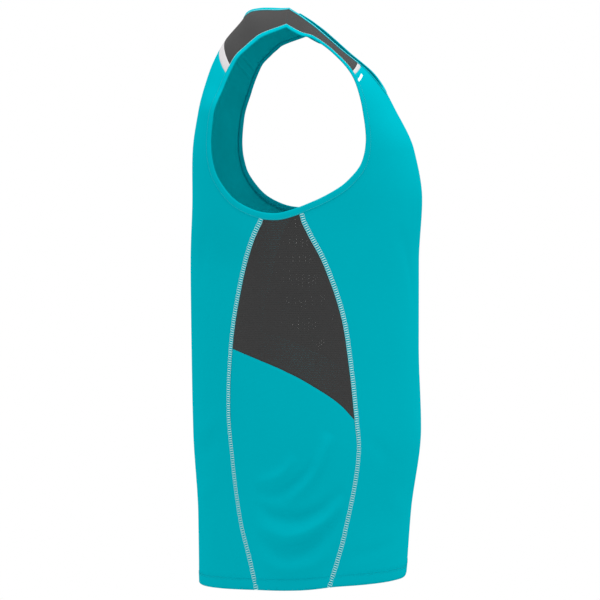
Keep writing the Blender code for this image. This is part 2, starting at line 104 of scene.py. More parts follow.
# soft creases: how far each stands out in mm (in, below zero), its half breadth, and the places
# that it runs through. Turns below 0 or above 180 are on the wearer's right side
Crease = namedtuple("Crease", "depth breadth places")
creases = [
    # right side, hanging across the side panel below the netting
    Crease(2.5, 7, [(-108, -546), (-98, -541), (-91, -533), (-86, -514)]),
    Crease(-2.6, 6, [(-108, -557), (-99, -560), (-91, -555), (-80.5, -534), (-78, -520)]),
    Crease(4.0, 8, [(-90, -569), (-82, -550), (-76, -527), (-73, -502), (-71.5, -489)]),
    Crease(-4.2, 8, [(-108.5, -571), (-98, -584), (-84, -587), (-73, -576), (-64, -552)]),
    Crease(4.4, 9, [(-108, -595), (-91, -608), (-82, -603), (-71.5, -588), (-64, -564)]),
    Crease(-4.2, 9, [(-108, -611), (-93, -626), (-79, -617), (-68, -595), (-64, -580)]),
    Crease(2.9, 9, [(-104, -636), (-91, -645), (-78, -640), (-68, -622)]),
    # right side, on the front
    Crease(-0.8, 9, [(-57, -490), (-50, -504), (-43, -518), (-41, -535)]),
    Crease(-0.8, 8, [(-64, -634), (-48, -629), (-23, -623)]),
    # left side, much the same but not alike
    Crease(2.9, 8, [(110, -525), (100, -524), (90, -515), (84, -494)]),
    Crease(-2.4, 7, [(107, -541), (97, -543), (86, -531), (79, -508)]),
    Crease(3.8, 9, [(97, -566), (86, -556), (77, -532), (71, -498)]),
    Crease(-4.5, 8, [(110, -571), (99, -585), (85, -586), (73, -573), (63, -541)]),
    Crease(4.0, 10, [(108, -600), (94, -616), (82, -609), (70, -588), (63, -561)]),
    Crease(-3.8, 8, [(109, -618), (92, -636), (77, -624), (66, -600)]),
    Crease(2.5, 9, [(101, -643), (89, -652), (76, -646), (67, -631)]),
    Crease(-0.9, 9, [(58, -478), (50, -493), (45, -512)]),
    # front, below the chest and above the hem
    Crease(-1.2, 13, [(-36, -255), (-27, -281), (-20, -318), (-18, -350)]),
    Crease(1.6, 13, [(42, -262), (34, -297), (30, -345)]),
    Crease(-1.5, 11, [(49, -402), (40, -427), (30, -440)]),
    Crease(0.8, 13, [(-42, -560), (-29, -582), (-15, -590)]),
    Crease(1.6, 13, [(28, -590), (39, -578), (51, -548)]),
    Crease(-1.7, 12, [(27, -622), (38, -612), (51, -584)]),
    # back, from the shoulder blades and across the small of the back
    Crease(-2.0, 13, [(130, -255), (141, -287), (149, -328)]),
    Crease(-1.4, 13, [(231, -250), (220, -284), (214, -330)]),
    Crease(1.3, 13, [(150, -130), (159, -160), (163, -202)]),
    Crease(2.4, 12, [(126, -464), (141, -492), (156, -503), (173, -502)]),
    Crease(-2.5, 11, [(126, -491), (141, -520), (155, -531), (171, -530)]),
    Crease(2.0, 12, [(132, -535), (148, -556), (168, -560)]),
    Crease(-1.6, 10, [(141, -577), (156, -587), (171, -585)]),
    Crease(1.1, 12, [(234, -466), (222, -488), (208, -497)]),
    Crease(-1.2, 11, [(233, -494), (220, -515), (206, -523)]),
    Crease(1.0, 11, [(230, -546), (217, -564), (204, -570)]),
]


def ringAt(level):
    # the ring at a level, on a curve through the rows that never swings past them
    level = np.clip(level, levels[0], ridge)
    i = np.clip(np.searchsorted(levels, level, side="right") - 1, 0, len(levels) - 2)
    step = (levels[i + 1] - levels[i])[..., None]
    t = (level - levels[i])[..., None] / step
    return (
        (2 * t**3 - 3 * t**2 + 1) * rings[i]
        + (t**3 - 2 * t**2 + t) * step * ringSlopes[i]
        + (3 * t**2 - 2 * t**3) * rings[i + 1]
        + (t**3 - t**2) * step * ringSlopes[i + 1]
    )


def unit(vectors):
    return vectors / np.linalg.norm(vectors, axis=-1, keepdims=True)


def formPoint(turn, height):
    turn, height = np.broadcast_arrays(np.asarray(turn, float), np.asarray(height, float))
    ring = np.moveaxis(ringAt(height), -1, 0)
    _, halfWidth, front, back, forward, drop, frontSquare, backSquare = ring
    sine, along = np.sin(np.radians(turn)), np.cos(np.radians(turn))
    across = np.where(np.abs(sine) < 1e-9, 0, np.abs(sine))
    square = np.where(along >= 0, frontSquare, backSquare)
    depth = np.where(along >= 0, front, back)
    size = (across**square + np.abs(along) ** square) ** (1 / square)
    return np.stack([
        np.sign(sine) * halfWidth * across / size,
        -forward * across**2 - depth * along / size,
        height - drop * across**2,
    ], -1)


turnStep, heightStep = 0.25, 0.5      # how far each way a slope is read, degrees and mm


def formSlopes(turn, height):
    # how the point moves per degree and per mm of height
    low, high = height - heightStep, np.minimum(height + heightStep, ridge)
    perTurn = formPoint(turn + turnStep, height) - formPoint(turn - turnStep, height)
    perHeight = (formPoint(turn, high) - formPoint(turn, low)) / (high - low)[..., None]
    return perTurn / (2 * turnStep), perHeight


def facingAt(turn, height):
    # the way out of the cloth
    return unit(np.cross(*formSlopes(turn, height)))


# distances over the cloth, measured once: round it from the centre front, and up it
gridTurns = np.arange(0, 181, 1.5)
gridHeights = np.concatenate([np.arange(-700, -225, 5.0), np.arange(-225, ridge, 0.75), [ridge]])
gridPoints = formPoint(gridTurns[:, None], gridHeights[None, :])
stepsRound = np.linalg.norm(np.diff(gridPoints, axis=0), axis=2)
stepsUp = np.linalg.norm(np.diff(gridPoints, axis=1), axis=2)
roundTable = np.vstack([np.zeros(len(gridHeights)), np.cumsum(stepsRound, axis=0)])
upTable = np.hstack([np.zeros((len(gridTurns), 1)), np.cumsum(stepsUp, axis=1)])
meanClimb = (upTable[20] + upTable[100]) / 2       # at turns 30 and 150
mmPerTurn = 3.4          # on the cutting table, a mean over the whole form


def lookUp(table, turn, height):
    # the table read between its rows and columns
    a, b = [
        np.clip(np.interp(value, grid, np.arange(len(grid))), 0, len(grid) - 1.001)
        for value, grid in ((turn, gridTurns), (height, gridHeights))
    ]
    i, j = a.astype(int), b.astype(int)
    a, b = a - i, b - j
    low = table[i, j] * (1 - b) + table[i, j + 1] * b
    high = table[i + 1, j] * (1 - b) + table[i + 1, j + 1] * b
    return low * (1 - a) + high * a


def clothMeasure(turn, height, fromBack=False):
    # metres round and up the cloth, for the weave, from the centre front or the centre back
    wrapped = (turn + 180) % 360 - 180
    folded = np.abs(wrapped)
    around = lookUp(roundTable, folded, height)
    if fromBack:
        around = lookUp(roundTable, np.full_like(folded, 180), height) - around
    return np.stack([np.sign(wrapped) * around, lookUp(upTable, folded, height)], -1) / 1000


def spread(places):
    # places as mm on a flat cutting table, near enough to true size to lay points out evenly
    places = np.asarray(places, float)
    climb = np.interp(places[:, 1], gridHeights, meanClimb)
    return np.stack([places[:, 0] * mmPerTurn, climb], 1)


def gather(table):
    # and back from the table to places
    return np.stack([table[:, 0] / mmPerTurn, np.interp(table[:, 1], meanClimb, gridHeights)], 1)


def runAlong(points):
    # how far along a line of points each one is
    steps = np.linalg.norm(np.diff(points, axis=0), axis=1)
    return np.concatenate([[0], np.cumsum(steps)])


def rowsAt(rows, at, marks=None):
    # a line taken again at other marks along it than its own, which are 0, 1, 2 if not given
    marks = np.arange(len(rows)) if marks is None else marks
    return np.stack([np.interp(at, marks, rows[:, k]) for k in (0, 1)], 1)


# points for each knot, rounds of smoothing, how many breadths a crease reaches, how its ends fade
creaseShape = {"points": 8, "smoothing": 6, "reach": 2.6, "fade": 0.8}


def creasePush(turn, height):
    # how far the creases move the cloth out at each place, mm
    turns, heights = np.ravel(turn), np.ravel(height)
    total = np.zeros(len(turns))
    for crease in creases:
        knots = np.array(crease.places, float)
        middle = knots[:, 0].mean()
        near = middle + (turns - middle + 180) % 360 - 180
        here = np.stack([near * mmPerTurn, heights], 1)
        count = creaseShape["points"] * len(knots)
        line = rowsAt(knots, np.linspace(0, len(knots) - 1, count))
        for _ in range(creaseShape["smoothing"]):      # rounds the corners at the knots
            line[1:-1] = (line[:-2] + 2 * line[1:-1] + line[2:]) / 4
        line *= [mmPerTurn, 1]
        reach = creaseShape["reach"] * crease.breadth
        low, high = line.min(0) - reach, line.max(0) + reach
        picked = np.flatnonzero(((here > low) & (here < high)).all(1))
        if len(picked) == 0:
            continue
        step = line[1:] - line[:-1]
        away = here[picked][:, None] - line[None, :-1]
        t = np.clip((away * step).sum(2) / (step**2).sum(1), 0, 1)
        gap = np.linalg.norm(away - t[..., None] * step, axis=2)
        closest = gap.argmin(1)
        along = (closest + t[np.arange(len(picked)), closest]) / len(step)
        fade = np.sin(np.pi * np.clip(along, 0, 1)) ** creaseShape["fade"]
        total[picked] += crease.depth * fade * np.exp(-(gap.min(1) / crease.breadth) ** 2)
    return total.reshape(np.shape(turn))


def clothPoint(turn, height, lift=0.0):
    # a point of the creased cloth, mm, and lift mm above it
    push = creasePush(turn, height) + lift
    return formPoint(turn, height) + facingAt(turn, height) * push[..., None]


# lines over the form are rows of (turn, height)

def evenly(places, count):
    # a line of places taken again at even distances over the cloth
    rows = np.asarray(places, float)
    run = runAlong(formPoint(*rows.T))
    return rowsAt(rows, np.linspace(0, run[-1], count + 1), run)


def lengthOf(places):
    return runAlong(formPoint(*places.T))[-1]


def smoothPath(places, count=400):
    # a smooth line through the places, that crosses the centre line square
    rows = np.array(places, float)
    before, after = 2 * rows[0] - rows[1], 2 * rows[-1] - rows[-2]
    if rows[0, 0] == 0:
        before[1] = rows[1, 1]
    if rows[-1, 0] == 180:
        after[1] = rows[-2, 1]
    rows = np.vstack([before, rows, after])
    t = np.linspace(0, 1, 20, endpoint=False)[:, None]
    dense = [
        b + 0.5 * t * (c - a) + t**2 * (a - 2.5 * b + 2 * c - 0.5 * d)
        + 0.5 * t**3 * (3 * (b - c) + d - a)
        for a, b, c, d in zip(rows, rows[1:], rows[2:], rows[3:])
    ]
    return evenly(np.vstack(dense + [rows[-2:-1]]), count)


def beside(path, distance):
    # the path moved over the cloth, to the left of its run as seen from outside. An end on the
    # shoulder line or a centre line stays on it
    turn, height = path.T
    perTurn, perHeight = formSlopes(turn, height)
    run = np.gradient(formPoint(turn, height), axis=0)
    across = unit(np.cross(np.cross(perTurn, perHeight), run))
    aa, ab, bb = [(u * v).sum(1) for u, v in
                  ((perTurn, perTurn), (perTurn, perHeight), (perHeight, perHeight))]
    ta, tb = (perTurn * across).sum(1), (perHeight * across).sum(1)
    det = aa * bb - ab**2
    moved = path + distance * np.stack([(bb * ta - ab * tb) / det, (aa * tb - ab * ta) / det], 1)
    for k in (0, -1):
        if path[k, 1] == ridge:
            moved[k] = path[k] + [math.copysign(1, ta[k]) * distance / aa[k] ** 0.5, 0]
        elif path[k, 0] in (0, 180):
            moved[k] = path[k] + [0, math.copysign(1, tb[k]) * distance / bb[k] ** 0.5]
    moved[:, 1] = np.minimum(moved[:, 1], ridge)
    return moved


def mirrored(path, centre=0):
    return path[::-1] * [-1, 1] + [2 * centre, 0]


def part(path, start, end):
    # the stretch of a path between the places nearest to start and end
    points = formPoint(*path.T)
    first, last =[np.linalg.norm(points - formPoint(*place), axis=1).argmin()
                   for place in (start, end)]
    rows = path[first : last + 1] if first <= last else path[last : first + 1][::-1]
    rows = rows.copy()
    rows[0], rows[-1] = start, end
    return rows


def atHeight(path, height):
    # the place where a path that climbs or falls all the way is at a height
    rows = path if path[0, 1] < path[-1, 1] else path[::-1]
    return np.array([np.interp(height, rows[:, 1], rows[:, 0]), height])


def inTwo(path, height):
    # a path as its lower and its upper part
    k = int(np.abs(path[:, 1] - height).argmin())
    return path[: k + 1], path[k:]


def straight(start, end, count=60):
    return np.linspace(start, end, count)


def arch(middle, side, count=60):
    # from a place on the centre line, level there, falling ever faster to the side
    share = np.linspace(0, 1, count)
    turns = middle[0] + (side[0] - middle[0]) * share
    return np.stack([turns, middle[1] + (side[1] - middle[1]) * share**2], 1)


hemPath = smoothPath(hemLine)


def hemAt(turn):
    folded = np.abs((np.asarray(turn, float) + 180) % 360 - 180)
    return np.interp(folded, hemPath[:, 0], hemPath[:, 1])


def hemPlace(seam):
    # where a seam line meets the hem
    gap = seam[:, 1] - hemAt(seam[:, 0])
    k = int(np.argmax(gap > 0))
    t = gap[k - 1] / (gap[k - 1] - gap[k]) if k else 0
    return seam[max(k - 1, 0)] * (1 - t) + seam[k] * t


def hemRun(start, end, count=80):
    turns = np.linspace(start[0], end[0], count)
    return np.stack([turns, hemAt(turns)], 1)


class Wire:
    # a shader socket that sums and products can be written with
    def __init__(self, tree, socket=None):
        self.tree, self.socket = tree, socket

    def node(self, kind, settings=None, inputs=None, output=0):
        made = self.tree.nodes.new(kind)
        for name, value in (settings or {}).items():
            setattr(made, name, value)
        for name, value in (inputs or {}).items():
            if isinstance(value, Wire):
                self.tree.links.new(value.socket, made.inputs[name])
            else:
                made.inputs[name].default_value = value
        return Wire(self.tree, made.outputs[output])

    def other(self, output):
        # another output of the same node
        return Wire(self.tree, self.socket.node.outputs[output])

    def math(self, operation, *others):
        inputs = dict(enumerate((self, *others)))
        return self.node("ShaderNodeMath", {"operation": operation}, inputs)

    def __add__(self, other):
        return self.math("ADD", other)

    def __mul__(self, other):
        return self.math("MULTIPLY", other)

    def __sub__(self, other):
        return self.math("SUBTRACT", other)

    def __rsub__(self, other):
        return self.node("ShaderNodeMath", {"operation": "SUBTRACT"}, {0: other, 1: self})

    def clamp(self):
        return self.math("MAXIMUM", 0.0).math("MINIMUM", 1.0)

    def wave(self):
        # 0 to 1 and back once per unit
        return (self * (2 * math.pi)).math("SINE") * 0.5 + 0.5

    def mix(self, factor, first, second):
        # between two colours by a 0 to 1 factor
        colours = {6: first, 7: second}
        inputs = {k: v if isinstance(v, Wire) else (*v, 1) for k, v in colours.items()}
        settings = {"data_type": "RGBA"}
        return self.node("ShaderNodeMix", settings, {0: factor, **inputs}, output=2)


def newMaterial(name, roughness, specular):
    material = bpy.data.materials.new(name)
    material.use_nodes = True
    surface = material.node_tree.nodes["Principled BSDF"]
    surface.inputs["Roughness"].default_value = roughness
    surface.inputs["Specular IOR Level"].default_value = specular
    return material, Wire(material.node_tree), surface


def plug(wire, surface, name):
    wire.tree.links.new(wire.socket, surface.inputs[name])


def clothAxes(wire):
    # the cloth's own measure, in metres across and up
    across = wire.node("ShaderNodeSeparateXYZ", None,
                       {0: wire.node("ShaderNodeUVMap", {"uv_map": "cloth"})})
    return across, across.other(1)


def addRelief(surface, height, strength, depth):
    settings = {"Height": height, "Strength": strength, "Distance": depth}
    plug(height.node("ShaderNodeBump", None, settings), surface, "Normal")


# the knits: darkest and lightest colour, column and row of loops in mm, how strong the relief is,
# and how much the fibres vary in tone
knits = {
    "body": dict(dark=(0.0, 0.338, 0.408), light=(0.0, 0.388, 0.464), wale=0.9, course=0.7,
                 relief=0.35, roughness=0.85, specular=0.0, sheen=0.12),
    # the inside face is a lighter copy of the body's teal knit: painted light, brightening the
    # shaded inside of the shirt
    "inside": dict(dark=(0.0, 0.405, 0.460), light=(0.0, 0.465, 0.525), wale=1.1, course=0.8,
                   relief=0.5, roughness=0.9, specular=0.0),
    "yoke": dict(dark=(0.033, 0.033, 0.033), light=(0.045, 0.045, 0.045), wale=0.8, course=0.65,
                 relief=0.4, roughness=0.8, specular=0.1, fleck=0.5),
    "netting": dict(dark=(0.026, 0.026, 0.026), light=(0.044, 0.044, 0.044), wale=0.45,
                    course=0.5, relief=0.5, roughness=0.6, specular=0.12, fleck=0.6),
    "tape": dict(dark=(0.47, 0.455, 0.465), light=(0.58, 0.565, 0.575), wale=0.6, course=0.6,
                 relief=0.25, roughness=0.45, specular=0.3, fleck=0.2),
    "band": dict(dark=(0.0, 0.345, 0.415), light=(0.0, 0.400, 0.475), wale=1.0, course=30.0,
                 relief=0.5, roughness=0.8, specular=0.0, sheen=0.12),
}
sheenTint = (0.0, 0.85, 0.95, 1)
# how far loops lean with their column, how high each stands, and the relief's depth in metres
weave = {"lean": 0.35, "columns": 0.55, "loops": 0.45, "depth": 0.00012}
patches = {"Scale": 9.0, "Detail": 3.0}      # a broad noise and a fine one
fibres = {"Scale": 700.0, "Detail": 2.0}
dash = {"start": (-38.4, -70.7), "end": (-31.0, -67.7), "halfWidth": 0.0017, "sharpness": 8000.0,
        "colour": (0.80, 0.90, 0.90)}      # a plain printed dash on the right of the chest


def knitMaterial(name, kind, marked=False):
    # a fine knit: columns of loops, up the cloth
    knit = knits[kind]
    material, wire, surface = newMaterial(name, knit["roughness"], knit["specular"])
    surface.inputs["Sheen Weight"].default_value = knit.get("sheen", 0.0)
    surface.inputs["Sheen Tint"].default_value = sheenTint
    across, up = clothAxes(wire)
    column =(across * (1000 / knit["wale"])).wave()
    loops = (up * (1000 / knit["course"]) + column * weave["lean"]).wave()
    height = column * weave["columns"] + loops * weave["loops"]
    coords = wire.node("ShaderNodeTexCoord", output=3)
    broad = wire.node("ShaderNodeTexNoise", None, {"Vector": coords, **patches})
    fine = wire.node("ShaderNodeTexNoise", None, {"Vector": coords, **fibres})
    # the colour is darker where the loop relief is low: painted shade in the hollows between
    # loops, mixed with broad patches and fibre flecks of real tone
    shadeAndTone = (height * 0.5 + broad * 0.5 + (fine - 0.5) * knit.get("fleck", 0.0)).clamp()
    colour = wire.mix(shadeAndTone, knit["dark"], knit["light"])
    if marked:
        (ax, ay), (bx, by) = [clothMeasure(np.array(turn), np.array(height)).tolist()
                              for turn, height in (dash["start"], dash["end"])]
        rise, run = by - ay, bx - ax
        x, y = across - ax, up - ay
        t = ((x * run + y * rise) * (1 / (run**2 + rise**2))).clamp()
        dx, dy = x - t * run, y - t * rise
        away = (dx * dx + dy * dy).math("SQRT")
        mask = ((dash["halfWidth"] - away) * dash["sharpness"]).clamp()
        colour = wire.mix(mask, colour, dash["colour"])
    plug(colour, surface, "Base Color")
    plug(height * -0.1 + knit["roughness"], surface, "Roughness")
    addRelief(surface, height + fine * 0.5, knit["relief"], weave["depth"])
    return material


# the threads: colour between the plies, darker there as painted shade, and on them, and how they
# shine
yarns = {
    "pale_thread": dict(dark=(0.36, 0.70, 0.72), light=(0.60, 0.88, 0.88), roughness=0.55,
                        specular=0.25),
    "teal_thread": dict(dark=(0.0, 0.315, 0.385), light=(0.0, 0.365, 0.44), roughness=0.8,
                        specular=0.03),
    # lighter than the band's knit: a real thread, coloured to paint a highlight line along the
    # bands
    "band_highlight_thread": dict(dark=(0.0, 0.39, 0.46), light=(0.02, 0.46, 0.53), roughness=0.55,
                        specular=0.25),
}
plies = {"count": 2, "turnsPerMetre": 1700, "relief": 0.6, "depth": 0.0001}


def threadMaterial(name):
    # plies twisted round each other
    yarn = yarns[name]
    material, wire, surface = newMaterial(name, yarn["roughness"], yarn["specular"])
    along, around = clothAxes(wire)
    twist = (along * plies["turnsPerMetre"] + around * plies["count"]).wave()
    # darker in the grooves between the plies and lighter on their crests: painted shade
    plug(wire.mix(twist, yarn["dark"], yarn["light"]), surface, "Base Color")
    addRelief(surface, twist, plies["relief"], plies["depth"])
    return material


bodyOut = knitMaterial("teal_knit_outside", "body")
chestOut = knitMaterial("teal_knit_chest", "body", marked=True)
clothIn = knitMaterial("teal_knit_inside", "inside")
yokeOut = knitMaterial("charcoal_knit", "yoke")
netOut = knitMaterial("charcoal_netting", "netting")
tapeOut = knitMaterial("silver_tape", "tape")
bandOut = knitMaterial("teal_band", "band")
paleThread, tealThread, bandHighlightThread = [threadMaterial(name) for name in yarns]
print("materials made")


def addMesh(name, points, faces, materials, uvs):
    # points in mm; uvs in metres, one per point
    mesh = bpy.data.meshes.new(name)
    mesh.from_pydata((np.asarray(points) / 1000).tolist(), [], [list(face) for face in faces])
    mesh.polygons.foreach_set("use_smooth", [True] * len(mesh.polygons))
    for material in materials:
        mesh.materials.append(material)
    corners = np.empty(len(mesh.loops), np.int32)
    mesh.loops.foreach_get("vertex_index", corners)
    layer = mesh.uv_layers.new(name="cloth")
    layer.data.foreach_set("uv", np.asarray(uvs)[corners].astype(np.float32).ravel())
    obj = bpy.data.objects.new(name, mesh)
    bpy.context.scene.collection.objects.link(obj)
    return obj


def inside(points, outline):
    # which points a closed outline goes round
    x, y = points[:, 0, None], points[:, 1, None]
    ax, ay = outline[:, 0], outline[:, 1]
    bx, by = np.roll(ax, -1), np.roll(ay, -1)
    span = np.where(by == ay, 1e-12, by - ay)       # a level side is never crossed
    crosses = ((ay > y) != (by > y)) & (x < (bx - ax) * (y - ay) / span + ax)
    return crosses.sum(1) % 2 == 1


def treeOf(points):
    tree = kdtree.KDTree(len(points))
    for k, (x, y) in enumerate(points):
        tree.insert((x, y, 0), k)
    tree.balance()
    return tree


def toNearest(points, tree):
    return np.array([tree.find((x, y, 0))[2] for x, y in points])


def distances(points, lines):
    # flat distance from each point to the nearest of some flat lines
    dense = np.vstack([rowsAt(line, np.arange(0, len(line) - 1, 0.1)) for line in lines])
    return toNearest(points, treeOf(dense))


# rows of points beside each kind of edge, mm from it, where the cloth rounds into it
edgeRows = {
    "seam": (0.5, 1.3, 2.6),
    "tuck": (),
    "hem": (0.35, 1.1, 2.4, 12.6, 13.7, 14.5, 15.3, 16.4),
}
# the least that other points keep away, as shares: a row from other edges by its own depth, the
# lattice from an edge and from the rows by the cell
keepOff = {"row": 0.93, "edge": 0.5, "rows": 0.45}
rowShare = 0.866           # rows of a honeycomb lie this far apart for its pitch


def honeycomb(low, high, pitch, upright=False):
    # a lattice whose rows run across, or up where upright
    if upright:
        return honeycomb(low[::-1], high[::-1], pitch)[:, ::-1]
    ys = np.arange(low[1], high[1], pitch * rowShare)
    xs = np.arange(low[0], high[0], pitch)
    return np.array([(x + (j % 2) * pitch / 2, y) for j, y in enumerate(ys) for x in xs])


def layOut(runs, cell, eyelets=None):
    # triangles over the outline that the runs make. A run is (kind of edge, places)
    flat = []
    for kind, places in runs:
        count = max(2, round(lengthOf(places) / cell))
        flat.append((kind, spread(evenly(places, count))))
    lines = [run for _, run in flat]
    outline = np.vstack([run[:-1] for run in lines])
    turned = np.sum(outline[:, 0] * np.roll(outline[:, 1], -1)
                    - outline[:, 1] * np.roll(outline[:, 0], -1)) > 0
    rows = [np.zeros((0, 2))]
    for kind, run in flat:
        middle = (run[1:] + run[:-1]) / 2
        across = unit(run[1:] - run[:-1])[:, ::-1] * ([-1, 1] if turned else [1, -1])
        for depth in edgeRows[kind]:
            row = middle + across * depth
            rows.append(row[distances(row, lines) > keepOff["row"] * depth])
    rows = np.vstack(rows)
    rows = rows[inside(rows, outline)] if len(rows) else rows
    if eyelets:
        pitch, border, upright = eyelets["pitch"], eyelets["border"], eyelets["upright"]
    else:
        pitch, border, upright = cell, keepOff["edge"] * cell, False
    lattice = honeycomb(outline.min(0), outline.max(0), pitch, upright)
    lattice = lattice[inside(lattice, outline)]
    lattice = lattice[distances(lattice, lines) > border]
    if eyelets:
        holes, first = lattice, 60 if upright else 30
        angles = np.radians(np.arange(first, first + 360, 60))
        corners = np.stack([np.cos(angles), np.sin(angles)], 1) * eyelets["radius"]
        lattice = (lattice[:, None] + corners[None]).reshape(-1, 2)
    elif len(rows):
        lattice = lattice[toNearest(lattice, treeOf(rows)) > keepOff["rows"] * cell]
    points = [Vector(point) for point in np.vstack([outline, rows, lattice]).tolist()]
    loop = list(range(len(outline)))
    verts, _, faces = delaunay_2d_cdt(points, [], [loop], 1, 1e-4)[:3]
    verts, faces = np.array(verts, float), np.array(faces)
    if eyelets:
        away = toNearest(verts[faces].mean(1), treeOf(holes))
        faces = faces[away > eyelets["clear"] * eyelets["radius"]]
    return verts, faces, flat


def swell(distance, height, middle, breadth):
    return height * np.exp(-((distance - middle) / breadth) ** 2)


# beside a seam the cloth rolls in and then swells: height, distance from it, breadth, mm. The hem
# is turned up, rounded at its fold, stepped where the turn-up ends and full between
seamRoll = {"breadth": 1.0, "swell": (0.10, 3.4, 1.8)}
hem = {"turnUp": 14.9, "fold": 1.1, "thin": 1.9, "thinBelow": 14, "step": (0.35, 14.4, 1.1),
       "swell": (0.25, 9, 5.0)}


def sewPiece(name, cloth, runs, fromBack=False, eyelets=None):
    # one cloth piece: its outer face on the form, and its wall inward from there
    table, faces, flat = layOut(runs, cloth["cell"], eyelets)
    turn, height = gather(table).T
    wall = cloth["wall"]
    lift, thick = np.zeros(len(table)), np.full(len(table), wall)
    seams = [run for kind, run in flat if kind == "seam"]
    if seams:
        off = distances(table, seams)
        lift -= swell(off, cloth["groove"], 0, seamRoll["breadth"])
        lift += swell(off, *seamRoll["swell"])
    if any(kind == "hem" for kind, _ in flat):
        up = height - hemAt(turn)
        rounding = np.clip(1 - up / hem["fold"], 0, 1) ** 2
        lift -= hem["fold"] * rounding
        thick = np.where(up < hem["turnUp"], wall * 2, wall)
        thick = thick - hem["thin"] * rounding * (up < hem["thinBelow"])
        lift -= swell(up, *hem["step"])
        lift += swell(up, *hem["swell"])
    points = clothPoint(turn, height, lift)
    a, b, c = [points[faces[:, k]] for k in range(3)]
    flips = (np.cross(b - a, c - a) * facingAt(turn, height)[faces[:, 0]]).sum(1) < 0
    faces[flips] = faces[flips][:, ::-1]
    obj = addMesh(name, points, faces, [cloth["outside"], cloth["inside"]],
                  clothMeasure(turn, height, fromBack))
    group = obj.vertex_groups.new(name="wall")
    thick = np.round(thick, 2)
    for value in np.unique(thick):
        group.add(np.flatnonzero(thick == value).tolist(), value / thick.max(), "REPLACE")
    shell = obj.modifiers.new("Wall", "SOLIDIFY")
    shell.thickness, shell.offset = thick.max() / 1000, -1
    shell.vertex_group, shell.thickness_vertex_group = "wall", 0.02
    shell.material_offset = shell.material_offset_rim = 1
    return obj


tuckIn = 3.5             # the cloth ends this near to a finished edge, inside the band, mm
seamGap = 0.02           # and this near to the middle of a seam
sides = {"right": -1, "left": 1}

# finished edges of the armhole and the neck, and the cloth's own edges inside the bands
armEdge = smoothPath(armholeEdge, count=800)
neckFrontEdge, neckBackEdge = smoothPath(neckFront, count=400), smoothPath(neckBack, count=200)
armTuck, neckFrontTuck, neckBackTuck = [beside(edge, -tuckIn) for edge in
                                        (armEdge, neckFrontEdge, neckBackEdge)]
lowest = int(armTuck[:, 1].argmin())
armFront, armBack = armTuck[: lowest + 1], armTuck[lowest:]
underArm = slice(lowest - 300, lowest + 300)       # the rows that pass below the arm
seamFront, seamBack = smoothPath(frontSeam, count=500), smoothPath(backSeam, count=500)
netEdge = smoothPath(nettingEdge, count=200)


def overEdge(turn, edge):
    # height of the armhole's line, or of one beside it, above a turn below the arm
    return np.interp(turn, edge[underArm, 0], edge[underArm, 1])


def seamLine(seam, distance, topGap=6, hemGap=0.5):
    # a panel's line up a side seam, from the hem to the armhole line, with its points that far
    # from either end
    path = beside(seam, distance)
    turn, height = path[-1]
    path = np.vstack([path[path[:, 1] < height - topGap], [[turn, overEdge(turn, armTuck)]]])
    start = hemPlace(path)
    return np.vstack([[start], path[path[:, 1] > start[1] + hemGap]])


def bothHalves(centre, runs):
    return runs + [(kind, mirrored(run, centre)) for kind, run in runs[::-1]]


pieces = {}        # the piece that stands for each CAD node

# each piece: its two faces, its wall, the size of its cells and how deep its seams roll in, mm.
# The tapes also have the heights of their upper seam at its two ends, and their width
lined = {"inside": clothIn, "wall": 1.1}
frontPiece = {**lined, "outside": chestOut, "cell": 3.6, "groove": 0.5}
backPiece = {**lined, "outside": bodyOut, "cell": 3.6, "groove": 0.5}
yokePiece = {**lined, "outside": yokeOut, "cell": 3.2, "groove": 0.3}
backTape = {**lined, "outside": tapeOut, "cell": 3.0, "groove": 0.6, "middle": -33,
            "arm": -47.5, "width": 10.0}
frontTape = {**lined, "outside": tapeOut, "cell": 2.6, "groove": 0.6, "neck": -58, "arm": -60,
             "width": 3.5}
lap = np.array([0, 0.6])      # a tape runs on this far under its neighbours

# corners of the pieces: upper and lower ends of each tape, ends of the shoulder line
neckTop, neckLow = [atHeight(neckFrontTuck, frontTape["neck"] - down)
                    for down in (0, frontTape["width"])]
armTop, armLow = [atHeight(armFront, frontTape["arm"] - down) for down in (0, frontTape["width"])]
midTop, midLow = [np.array([180.0, backTape["middle"] - down]) for down in (0, backTape["width"])]
backTop, backLow = [atHeight(armBack, backTape["arm"] - down) for down in (0, backTape["width"])]
ridgeArmFront, ridgeArmBack = armFront[0], armBack[-1]
ridgeNeckFront, ridgeNeckBack = neckFrontTuck[-1], neckBackTuck[0]

line = seamLine(seamFront, seamGap)
pieces["front"] = sewPiece("front_cloth", frontPiece, bothHalves(0, [
    ("hem", hemRun((0, 0), line[0])),
    ("seam", line),
    ("tuck", part(armFront, line[-1], armLow)),
    ("seam", straight(armLow, neckLow)),
    ("tuck", part(neckFrontTuck, neckLow, neckFrontTuck[0])),
]))

line = seamLine(seamBack, -seamGap)
pieces["back"] = sewPiece("back_cloth", backPiece, bothHalves(180, [
    ("hem", hemRun((180, 0), line[0])),
    ("seam", line),
    ("tuck", part(armBack, line[-1], backLow)),
    ("seam", arch(midLow, backLow)[::-1]),
]), fromBack=True)

pieces["back_yoke"] = sewPiece("yoke_cloth", yokePiece, bothHalves(180, [
    ("seam", arch(midTop, backTop)),
    ("tuck", part(armBack, backTop, ridgeArmBack)),
    ("seam", straight(ridgeArmBack, ridgeNeckBack)),
    ("tuck", part(neckBackTuck, ridgeNeckBack, neckBackTuck[-1])),
]), fromBack=True)

pieces["back_strip"] = sewPiece("back_tape", backTape, bothHalves(180, [
    ("seam", arch(midTop + lap, backTop + lap)),
    ("tuck", straight(backTop + lap, backLow - lap)),
    ("seam", arch(midLow - lap, backLow - lap)[::-1]),
]), fromBack=True)
print("front and back made")

